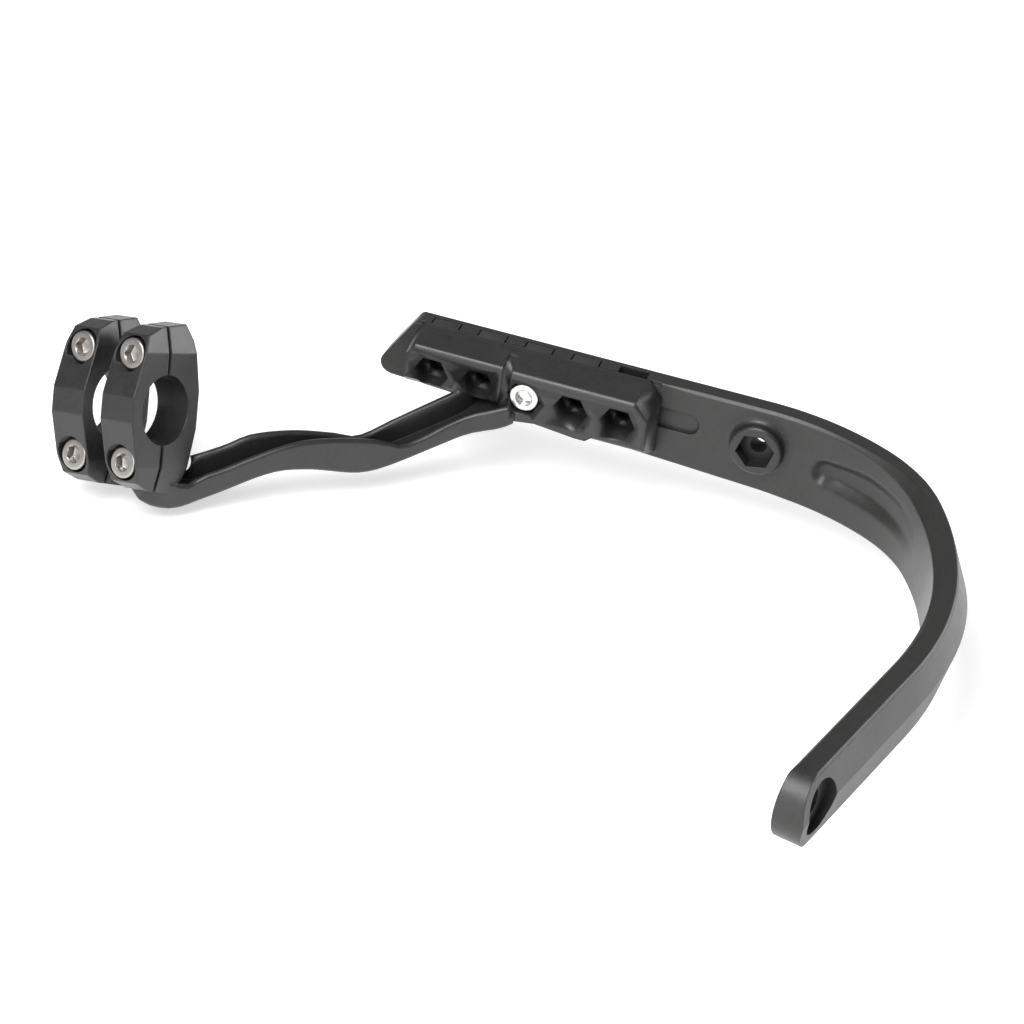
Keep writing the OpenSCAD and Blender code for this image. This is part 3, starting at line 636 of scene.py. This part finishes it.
def edge_tool(ends, normals, radius, past=0.5):
    """Rounds a straight edge: the space between the edge and an arc that touches both of its faces.

    The arc's centre lies inside by radius / cos(half the angle between the faces' normals). The
    tool stands two or three millimetres out from the faces. It runs from one end of the edge to
    the other, and past both ends by the last number."""
    first, last = np.array(ends, float)
    a, b = (n / np.linalg.norm(n) for n in np.array(normals, float))
    middle = (a + b) / np.linalg.norm(a + b)
    along = (last - first) / np.linalg.norm(last - first)
    share = np.linspace(0, 1, 9)[:, None]
    fan = a * (1 - share) + b * share
    fan = radius * fan / np.linalg.norm(fan, axis=1, keepdims=True)
    centre = -middle * radius / (a @ middle)
    arc = centre + fan
    section = np.concatenate([arc, [arc[-1] + 2 * b, 3 * middle, arc[0] + 2 * a]])
    rings = np.stack([section + first - along * past, section + last + along * past])
    return skin("edge", HEAD.at(rings))


def head_edges():
    """The front face's upper edges, on both halves of the head, and its outboard bevel and end.

    Outboard of the groove the front stands out by a step, and its roof starts lower by the
    step's share of the roof's rise."""
    rise = (SPAR_TOP - FRONT_TOP) / (SPAR_Y - 1 - FRONT_STEP)
    front, roof, end = [0, -1, 0], [0, -rise, 1], [1, 0, 0]
    corner = FRONT_TOP - rise * FRONT_STEP
    bevel_x, end_x, bevel_low = HEAD_HALF - BEVEL_IN, HEAD_HALF + BEVEL_OUT, corner - BEVEL_DROP
    inboard = [[INBOARD_CHAMFER - HEAD_HALF, FRONT_STEP, FRONT_TOP], [GROOVE_LOW_X, FRONT_STEP, FRONT_TOP]]
    return [edge_tool([[GROOVE_HIGH_X, 0, corner], [bevel_x, 0, corner]], [front, roof], OUTBOARD_R, 0),
            edge_tool([[bevel_x, 0, corner], [end_x, 0, bevel_low]], [front, BEVEL_NORMAL], BEVEL_R),
            edge_tool([[end_x, 0, bevel_low], [end_x, 0, END_FOOT]], [front, end], END_R, 0),
            edge_tool(inboard, [front, roof], INBOARD_R, 0)]


combine(arm_casting, head_edges(), "DIFFERENCE")
for piece in (guard_bar, arm_casting, inner_cap, outer_cap):
    smooth_by_angle(piece)
print("arm with rounded edges:", len(arm_casting.data.polygons), "faces")

# %% [markdown]
# The four clamp screws and the adjuster screw are socket-head cap screws. The head's side is
# knurled: the radius rises and falls with the angle, on the straight part of the side only,
# so that the rim stays smooth. The shank has a real thread, a radius that rises and falls
# with the height less the angle's share of the pitch. The socket's hexagon is a radius that
# depends on the angle too, so one grid of rings makes the whole screw. Spin or a Screw
# modifier could turn the profile, but then the knurl and the socket would need cuts.

# %% Screws
SCREW_R, HEAD_R, HEAD_H, RIM_ROUND, UNDER_ROUND = 3, 5, 6, 0.7, 0.15
THREAD_PITCH, THREAD_DEPTH, THREAD_STEPS, PLAIN_SHARE, TIP_DEPTH = 1.0, 0.45, 6, 0.4, 0.5
KNURLS, KNURL_DEPTH, KNURL_STEPS, KNURL_POWER = 36, 0.32, 4, 0.7
SOCKET_AF, SOCKET_MOUTH_R, SOCKET_CONE, LID_R = 5, 2.95, 0.8, 0.3


def shank_rings(a, length):
    """Radii and heights of the shank, from its tip to the head.

    The thread's wave is 1 - |2 frac(height / pitch - angle / turn) - 1| of its depth. It begins
    where the plain part under the head ends, and the tip is eased inwards."""
    heights = np.linspace(length, 0, int(length / THREAD_PITCH * THREAD_STEPS))
    phase = np.mod(heights[:, None] / THREAD_PITCH - a / (2 * np.pi), 1)
    plain = PLAIN_SHARE * length
    cut = THREAD_DEPTH * (1 - np.abs(2 * phase - 1)) * ease(heights, plain, plain + 1)[:, None]
    tip = TIP_DEPTH * ease(heights, length - 0.6, length)[:, None]
    return SCREW_R - cut - tip, heights


def head_rings(a):
    """Radii and heights up the head's side: knurls where the side is straight, then a rounded rim.

    The knurls are the wave 1 - |sin(half their number * angle)| to a power, and the rim is a
    quarter of a circle."""
    straight = np.linspace(-0.05, 0.75 - HEAD_H, 12)
    share = ease(straight, -HEAD_H + RIM_ROUND, -HEAD_H + 1.2) * (1 - ease(straight, -0.5, -0.1))
    wave = 1 - np.abs(np.sin(KNURLS / 2 * a)) ** KNURL_POWER
    side = HEAD_R - KNURL_DEPTH * share[:, None] * wave
    t = np.linspace(np.pi / 2, 0, 8)
    rim = HEAD_R - RIM_ROUND + RIM_ROUND * np.sin(t)
    radii = np.concatenate([side, np.repeat(rim[:, None], len(a[0]), 1)])
    return radii, np.concatenate([straight, -HEAD_H + RIM_ROUND * (1 - np.cos(t))])


def socket_rings(a):
    """Radii and heights down the socket: the larger of a hexagon's and a cone's, then a cone for a floor.

    The hexagon's radius is half its width over the cosine of the angle to the flat's middle."""
    flat = SOCKET_AF / 2 / np.cos(np.mod(a, np.pi / 3) - np.pi / 6)
    down = np.array([0, 0.15, 0.3, 0.45, HEAD_H / 2])
    radii = np.maximum(flat, (SOCKET_MOUTH_R - down)[:, None])
    heights = np.append(down, HEAD_H / 2 + SOCKET_CONE) - HEAD_H
    return np.concatenate([radii, np.full_like(flat, LID_R)]), heights


def cap_screw(name, place, length, turn):
    """One closed skin from the shank's tip over the head and down into its socket."""
    a = np.linspace(0, 2 * np.pi, KNURLS * KNURL_STEPS, endpoint=False)[None, :]
    tip = (np.full_like(a, LID_R), np.array([length]))
    under = (np.full_like(a, HEAD_R - UNDER_ROUND), np.array([0.0]))
    runs = [tip, shank_rings(a, length), under, head_rings(a), socket_rings(a)]
    radii, heights = (np.concatenate([run[k] for run in runs]) for k in (0, 1))
    spun = a + np.radians(turn)
    levels = np.repeat(heights[:, None], len(a[0]), 1)
    return skin(name, place.at(np.stack([radii * np.cos(spun), radii * np.sin(spun), levels], -1)))


print("a screw's rings have", KNURLS * KNURL_STEPS, "points each")

# %% [markdown]
# Four screws stand in a square, one above and one below the handlebar in each ring, and pull
# the caps to their bases. The fifth sits on its washer in the head's middle pocket, and goes
# through the guard bar into a nut behind it. Each socket stops at an angle of its own, as
# screws do when they are tight.

# %% The five screws in their places
CAP_EAR, BASE_EAR, SHORT_OF_BACK = 5, 12, 1
# Each screw's ring (-1 inboard, 1 outboard) and its side of the bar (1 above, -1 below).
CLAMP_SPOTS = {"inner_top": (-1, 1), "inner_low": (-1, -1), "outer_top": (1, 1), "outer_low": (1, -1)}
SOCKET_TURNS = {"inner_top": 12, "inner_low": 40, "outer_top": 0, "outer_low": 25, "adjuster": 15}
POCKET_DEPTH, WASHER_T, FIT, PAST_NUT = 8.4, 1.2, 0.05, 2
ADJUSTER_SEAT = POCKET_DEPTH - WASHER_T - 2 * FIT
HEAD_OUT = Place(HEAD.origin, [1, 0, 0], [0, 0, 1], [0, 1, 0])


def along_clamp(side, level):
    """A screw's place in the clamp: Z points from the cap to the base."""
    x, y, z = CLAMP.axes
    return Place(CLAMP.at([0, level * CLAMP_SCREW_PITCH / 2, side * RING_PITCH / 2]), -z, y, x)


screws = {}
for spot, (side, level) in CLAMP_SPOTS.items():
    seat = along_clamp(side, level).moved(0, 0, -CAP_EAR)
    screws["clamp_screw_" + spot] = cap_screw("screw_" + spot, seat, CAP_EAR + BASE_EAR - SHORT_OF_BACK,
                                              SOCKET_TURNS[spot])
screws["adjuster_screw"] = cap_screw("screw_adjuster", HEAD_OUT.moved(0, 0, ADJUSTER_SEAT),
                                     SPAR_Y + SPAR_T + PAST_NUT - ADJUSTER_SEAT, SOCKET_TURNS["adjuster"])
print("screws:", {name: len(s.data.polygons) for name, s in screws.items()})

# %% [markdown]
# A hexagon nut is a hexagon whose corners are turned off at both ends by a cone of 30 degrees.
# So its radius at an angle is the smaller of two numbers, the hexagon's and the cone's. The
# washer is a turned ring with its edges just broken.

# %% Nuts and the washer
NUT_H, NUT_AF, NUT_STEPS, NUT_CORNER_H, NUT_ANGLE = 5, 10, 96, 0.75, np.radians(30)
NUT_LID_R, NUT_BELOW_BACK = SCREW_R + 0.4, 0.6
BORE_R, MOUTH_R, MOUTH_DEPTH = SCREW_R + FIT, 3.5, 0.45
WASHER_R, WASHER_EDGE = HEAD_R + 0.2, 0.2
NUT_SEAT = BASE_EAR - NUT_H - NUT_BELOW_BACK + FIT


def hex_nut(name, place):
    """The radius is the smaller of the hexagon's and that of a cone at each end.

    The hexagon's is half its width over the cosine of the angle to the flat's middle. The
    cone's grows with the height above its end over the tangent of the nut's angle."""
    a = np.linspace(0, 2 * np.pi, NUT_STEPS, endpoint=False)
    to_flat = np.mod(a, np.pi / 3) - np.pi / 6
    flat = NUT_AF / 2 / np.cos(to_flat)
    heights = np.concatenate([[0], np.linspace(0, NUT_CORNER_H, 7),
                              np.linspace(NUT_H - NUT_CORNER_H, NUT_H, 7), [NUT_H]])
    cone = NUT_AF / 2 - 0.1 + np.minimum(heights, NUT_H - heights)[:, None] / np.tan(NUT_ANGLE)
    radius = np.minimum(flat[None, :], cone)
    radius[[0, -1]] = NUT_LID_R
    levels = np.repeat(heights[:, None], NUT_STEPS, 1)
    rings = np.stack([radius * np.cos(a), radius * np.sin(a), levels], -1)
    bore = turned("bore", [[MOUTH_R, -0.5], [MOUTH_R, 0], [BORE_R, MOUTH_DEPTH],
                           [BORE_R, NUT_H - MOUTH_DEPTH], [MOUTH_R, NUT_H], [MOUTH_R, NUT_H + 0.5]],
                  place, 64)
    return combine(skin(name, place.at(rings)), [bore], "DIFFERENCE")


def washer(name, place):
    """A turned disc with broken edges, and a bore cut through it."""
    inner, rim = 0.5, WASHER_R - WASHER_EDGE
    ring = turned(name, [[inner, 0], [rim, 0], [WASHER_R, WASHER_EDGE], [WASHER_R, WASHER_T - WASHER_EDGE],
                         [rim, WASHER_T], [inner, WASHER_T]], place, 96)
    return combine(ring, [prism("bore", circle(BORE_R, 64), place, -1, WASHER_T + 1)], "DIFFERENCE")


nuts = {"clamp_nut_" + spot: hex_nut("nut_" + spot, along_clamp(side, level).moved(0, 0, NUT_SEAT))
        for spot, (side, level) in CLAMP_SPOTS.items()}
nuts["adjuster_nut"] = hex_nut("nut_adjuster", HEAD_OUT.moved(0, 0, SPAR_Y + SPAR_T - NUT_SINK + FIT))
seat_washer = washer("washer_adjuster", HEAD_OUT.moved(0, 0, POCKET_DEPTH - WASHER_T - FIT))
for piece in [*screws.values(), *nuts.values(), seat_washer]:
    smooth_by_angle(piece)
print("nuts:", len(nuts), "washer:", len(seat_washer.data.polygons), "faces")

# %% [markdown]
# Every piece rides on the part's one body, stands for its solid and names the slot of the
# record that its finish belongs to.

# %% Pieces and the solids they stand for
pieces = {guard_bar: ("guard_spar", "guard_nylon"), arm_casting: ("mount_arm", "arm_nylon"),
          inner_cap: ("clamp_cap_inner", "arm_nylon"), outer_cap: ("clamp_cap_outer", "arm_nylon")}
pieces.update({piece: (node, "steel") for node, piece in screws.items()})
pieces.update({piece: (node, "nut_steel") for node, piece in nuts.items()})
pieces[seat_washer] = ("adjuster_washer", "steel")
for piece, (node, slot_name) in pieces.items():
    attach(piece, "root")
    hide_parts(node)
print(len(pieces), "pieces stand for", len(frame["nodes"]), "solids")

# %% [markdown]
# Materials are written as sums. A small class holds one socket of a node, and Python's own
# operators add the Math nodes, so a mask reads like the formula it is. All other nodes come
# from one method, which makes its settings first and then fills its sockets.

# %% A socket that can be reckoned with


class Wire:
    """An output socket of a material's nodes."""

    def __init__(self, tree, socket=None):
        self.tree, self.socket = tree, socket

    def node(self, kind, inputs=None, out=0, **settings):
        """Adds a node: its settings first, then its sockets' values or wires."""
        node = self.tree.nodes.new(kind)
        for name, value in settings.items():
            setattr(node, name, value)
        for key, value in (inputs or {}).items():
            if isinstance(value, Wire):
                self.tree.links.new(value.socket, node.inputs[key])
            else:
                node.inputs[key].default_value = value
        return Wire(self.tree, node.outputs[out])

    def maths(self, operation, *terms):
        """A Math node on numbers and wires."""
        return self.node("ShaderNodeMath", dict(enumerate(terms)), operation=operation)

    def __add__(self, other):
        return self.maths("ADD", self, other)

    def __sub__(self, other):
        return self.maths("SUBTRACT", self, other)

    def __rsub__(self, other):
        return self.maths("SUBTRACT", other, self)

    def __mul__(self, other):
        return self.maths("MULTIPLY", self, other)

    __radd__, __rmul__ = __add__, __mul__


def new_material(name):
    """An empty material: its start wire, its shader and a function that feeds the shader's sockets."""
    material = bpy.data.materials.new(name)
    material.use_nodes = True
    tree = material.node_tree
    shader = tree.nodes["Principled BSDF"]

    def feed(**sockets):
        for key, value in sockets.items():
            socket = shader.inputs[key.replace("_", " ")]
            if isinstance(value, Wire):
                tree.links.new(value.socket, socket)
            else:
                socket.default_value = value
    return material, Wire(tree), feed


print("wires ready")

# %% [markdown]
# Glass-filled nylon is almost black, with a fine matt grain from the mould and slight cloudy
# changes of gloss. Four noises make it, from clouds of two centimetres over flow marks and
# specks to a grain of a quarter of a millimetre, which is bump only. A Bevel node rounds what
# light sees of the edges between the cut faces, and it feeds the bump node's own normal. Deep
# pockets and seams get painted shade: an Ambient Occlusion node tells how much of the open air
# a point sees, and the colour goes to black where it sees little. There the nylon is also duller.

# %% Nylon
# How far the Ambient Occlusion looks, and the black that it paints as shade into pockets and seams.
CREVICE_REACH, PAINTED_SHADE_BLACK, NYLON_IOR = 7, (0.001, 0.001, 0.001), 1.54


def noise(start, place, scale, detail, roughness=0.5, distortion=0):
    """Noise whose features are about 1 / scale of a metre wide."""
    return start.node("ShaderNodeTexNoise", {"Vector": place, "Scale": scale, "Detail": detail,
                                             "Roughness": roughness, "Distortion": distortion})


def blend(start, share, dark, light):
    """A colour between dark and light. Each is three numbers or a wire."""
    first, second = (c if isinstance(c, Wire) else (*c, 1) for c in (dark, light))
    return start.node("ShaderNodeMix", {0: share, 6: first, 7: second}, out=2, data_type="RGBA")


def nylon(name, dark, light, roughness, grain_depth, edge_round):
    """Colour goes from dark to light by 0.6 cloud + 1.1 speck + 0.5 flow - 0.6, and to black in crevices
    as painted shade.

    Roughness adds half a step in crevices and a fifth of cloud's and speck's swing about 0.5.
    The bump's height is grain + 0.8 speck + 0.6 flow."""
    material, start, feed = new_material(name)
    place = start.node("ShaderNodeTexCoord", out="Object")
    cloud = noise(start, place, 55, 4, 0.6)
    speck = noise(start, place, 1500, 3, 0.65)
    grain = noise(start, place, 3800, 3, 0.6)
    flow = noise(start, place, 260, 3, 0.5, 0.8)
    paint = blend(start, (cloud * 0.6 + speck * 1.1 + flow * 0.5) - 0.6, dark, light)
    air = start.node("ShaderNodeAmbientOcclusion", {"Distance": CREVICE_REACH * MM}, out="AO", samples=6)
    shown = start.node("ShaderNodeMapRange", {"Value": air, "From Min": 0.35, "From Max": 0.75})
    # Painted shade: the colour goes to black where the Ambient Occlusion node sees little open air.
    colour = blend(start, shown, PAINTED_SHADE_BLACK, paint)
    edges = start.node("ShaderNodeBevel", {"Radius": edge_round * MM}, samples=6)
    bump = start.node("ShaderNodeBump", {"Strength": 0.7, "Distance": grain_depth * MM,
                                         "Height": grain + speck * 0.8 + flow * 0.6, "Normal": edges})
    dull = (1 - shown) * 0.5 + (cloud - 0.5) * 0.2 + (speck - 0.5) * 0.2
    feed(Base_Color=colour, Roughness=dull + roughness, Normal=bump, IOR=NYLON_IOR)
    return material


bar_nylon = nylon("bar_nylon", (0.0085, 0.0080, 0.0076), (0.028, 0.0266, 0.0254), 0.39, 0.05, 0.45)
arm_nylon = nylon("arm_nylon", (0.0085, 0.0085, 0.0085), (0.029, 0.0286, 0.0282), 0.34, 0.03, 0.8)
print("nylon:", bar_nylon.name, arm_nylon.name)

# %% [markdown]
# The screws are stainless steel: bright, with turning marks too fine to see singly. The nuts
# are zinc plated, a little darker and duller. Both change their roughness in small patches.

# %% Steel
STEEL_EDGE, STEEL_GRAIN = 0.15, 0.01


def steel(name, colour, roughness, patch):
    """Metal whose colour goes from patch times itself to itself by 0.6 fine + 0.4 wide noise.

    Roughness adds a quarter of the fine noise's swing about 0.5."""
    material, start, feed = new_material(name)
    place = start.node("ShaderNodeTexCoord", out="Object")
    fine = noise(start, place, 1400, 4, 0.65)
    wide = noise(start, place, 220, 2)
    darker = tuple(c * patch for c in colour)
    tint = blend(start, fine * 0.6 + wide * 0.4, darker, colour)
    edges = start.node("ShaderNodeBevel", {"Radius": STEEL_EDGE * MM}, samples=6)
    bump = start.node("ShaderNodeBump", {"Strength": 0.4, "Distance": STEEL_GRAIN * MM, "Height": fine,
                                         "Normal": edges})
    feed(Base_Color=tint, Roughness=roughness + (fine - 0.5) * 0.25, Metallic=1.0, Normal=bump)
    return material


screw_steel = steel("screw_steel", (0.50, 0.475, 0.45), 0.34, 0.62)
# A paler, glossier copy of the screw steel for the adjuster screw: a painted highlight, the same stainless
# steel made to look more brightly lit.
lit_screw_steel = steel("lit_screw_steel", (0.80, 0.79, 0.77), 0.24, 0.75)
plated_steel = steel("plated_steel", (0.50, 0.50, 0.52), 0.36, 0.70)
finishes = {"guard_nylon": bar_nylon, "arm_nylon": arm_nylon, "steel": screw_steel,
            "nut_steel": plated_steel}
for piece, (node, slot_name) in pieces.items():
    # The adjuster screw takes the painted-highlight copy of the screw steel.
    finish = lit_screw_steel if node == "adjuster_screw" else finishes[slot_name]
    for mesh in (piece.data, frame["nodes"][node].data):
        mesh.materials.clear()
        mesh.materials.append(finish)
print("finishes:", sorted(finishes))

# %% [markdown]
# The picture is a studio shot on white. A pale floor lies just under the lowest point. It
# glows a little, so that it stays white under a dimmer sky: black nylon shows mostly what it
# reflects, and this way its upright faces come out paler than its top faces. The key lamp
# stands above the camera, where the rounded edges reflect it as bright lines. A low lamp in
# front lights what slopes a little upwards, such as the trough's lower side, and one outboard
# lights the rings' ends and the returning leg.

# %% Floor and light
FLOOR_GAP, FLOOR_HALF = 2, 6000
FLOOR_GLOW, SKY_STRENGTH = 0.45, 0.36
# Each lamp's place from the part's middle in metres, its width in metres and its power in watts.
LAMPS = {"key": ((-0.20, -0.55, 0.85), 0.60, 11.0), "outboard": ((0.80, 0.60, 0.18), 0.45, 3.5),
         "front": ((-0.25, -0.95, 0.30), 0.60, 2.6)}


def pale_floor():
    """One flat square, far wider than the view."""
    size = FLOOR_HALF * MM
    level = cad_low.z - FLOOR_GAP * MM
    corners = [(-size, -size, level), (size, -size, level), (size, size, level), (-size, size, level)]
    mesh = bpy.data.meshes.new("floor")
    mesh.from_pydata(corners, [], [[0, 1, 2, 3]])
    floor = bpy.data.objects.new("floor", mesh)
    bpy.context.scene.collection.objects.link(floor)
    material, _, feed = new_material("floor_paper")
    feed(Base_Color=(0.93, 0.93, 0.93, 1), Roughness=0.9, Emission_Color=(1, 1, 1, 1),
         Emission_Strength=FLOOR_GLOW)
    mesh.materials.append(material)
    return floor


def lamp(name, spot, size, power):
    """A square lamp that faces the middle of the part."""
    data = bpy.data.lights.new(name, "AREA")
    data.size, data.energy = size, power
    light = bpy.data.objects.new(name, data)
    middle = (cad_low + cad_high) / 2
    light.location = middle + Vector(spot)
    light.rotation_mode = "QUATERNION"
    light.rotation_quaternion = (-Vector(spot)).to_track_quat("-Z", "Y")
    bpy.context.scene.collection.objects.link(light)
    return light


def white_sky(strength):
    """Even white light from all around."""
    world = bpy.data.worlds.new("sky")
    world.use_nodes = True
    background = world.node_tree.nodes["Background"].inputs
    background["Color"].default_value = (1, 1, 1, 1)
    background["Strength"].default_value = strength
    bpy.context.scene.world = world


pale_floor()
for lamp_name, (spot, size, power) in LAMPS.items():
    lamp(lamp_name, spot, size, power)
white_sky(SKY_STRENGTH)
bpy.context.scene.view_settings.view_transform = "Standard"
print("lamps:", list(LAMPS))
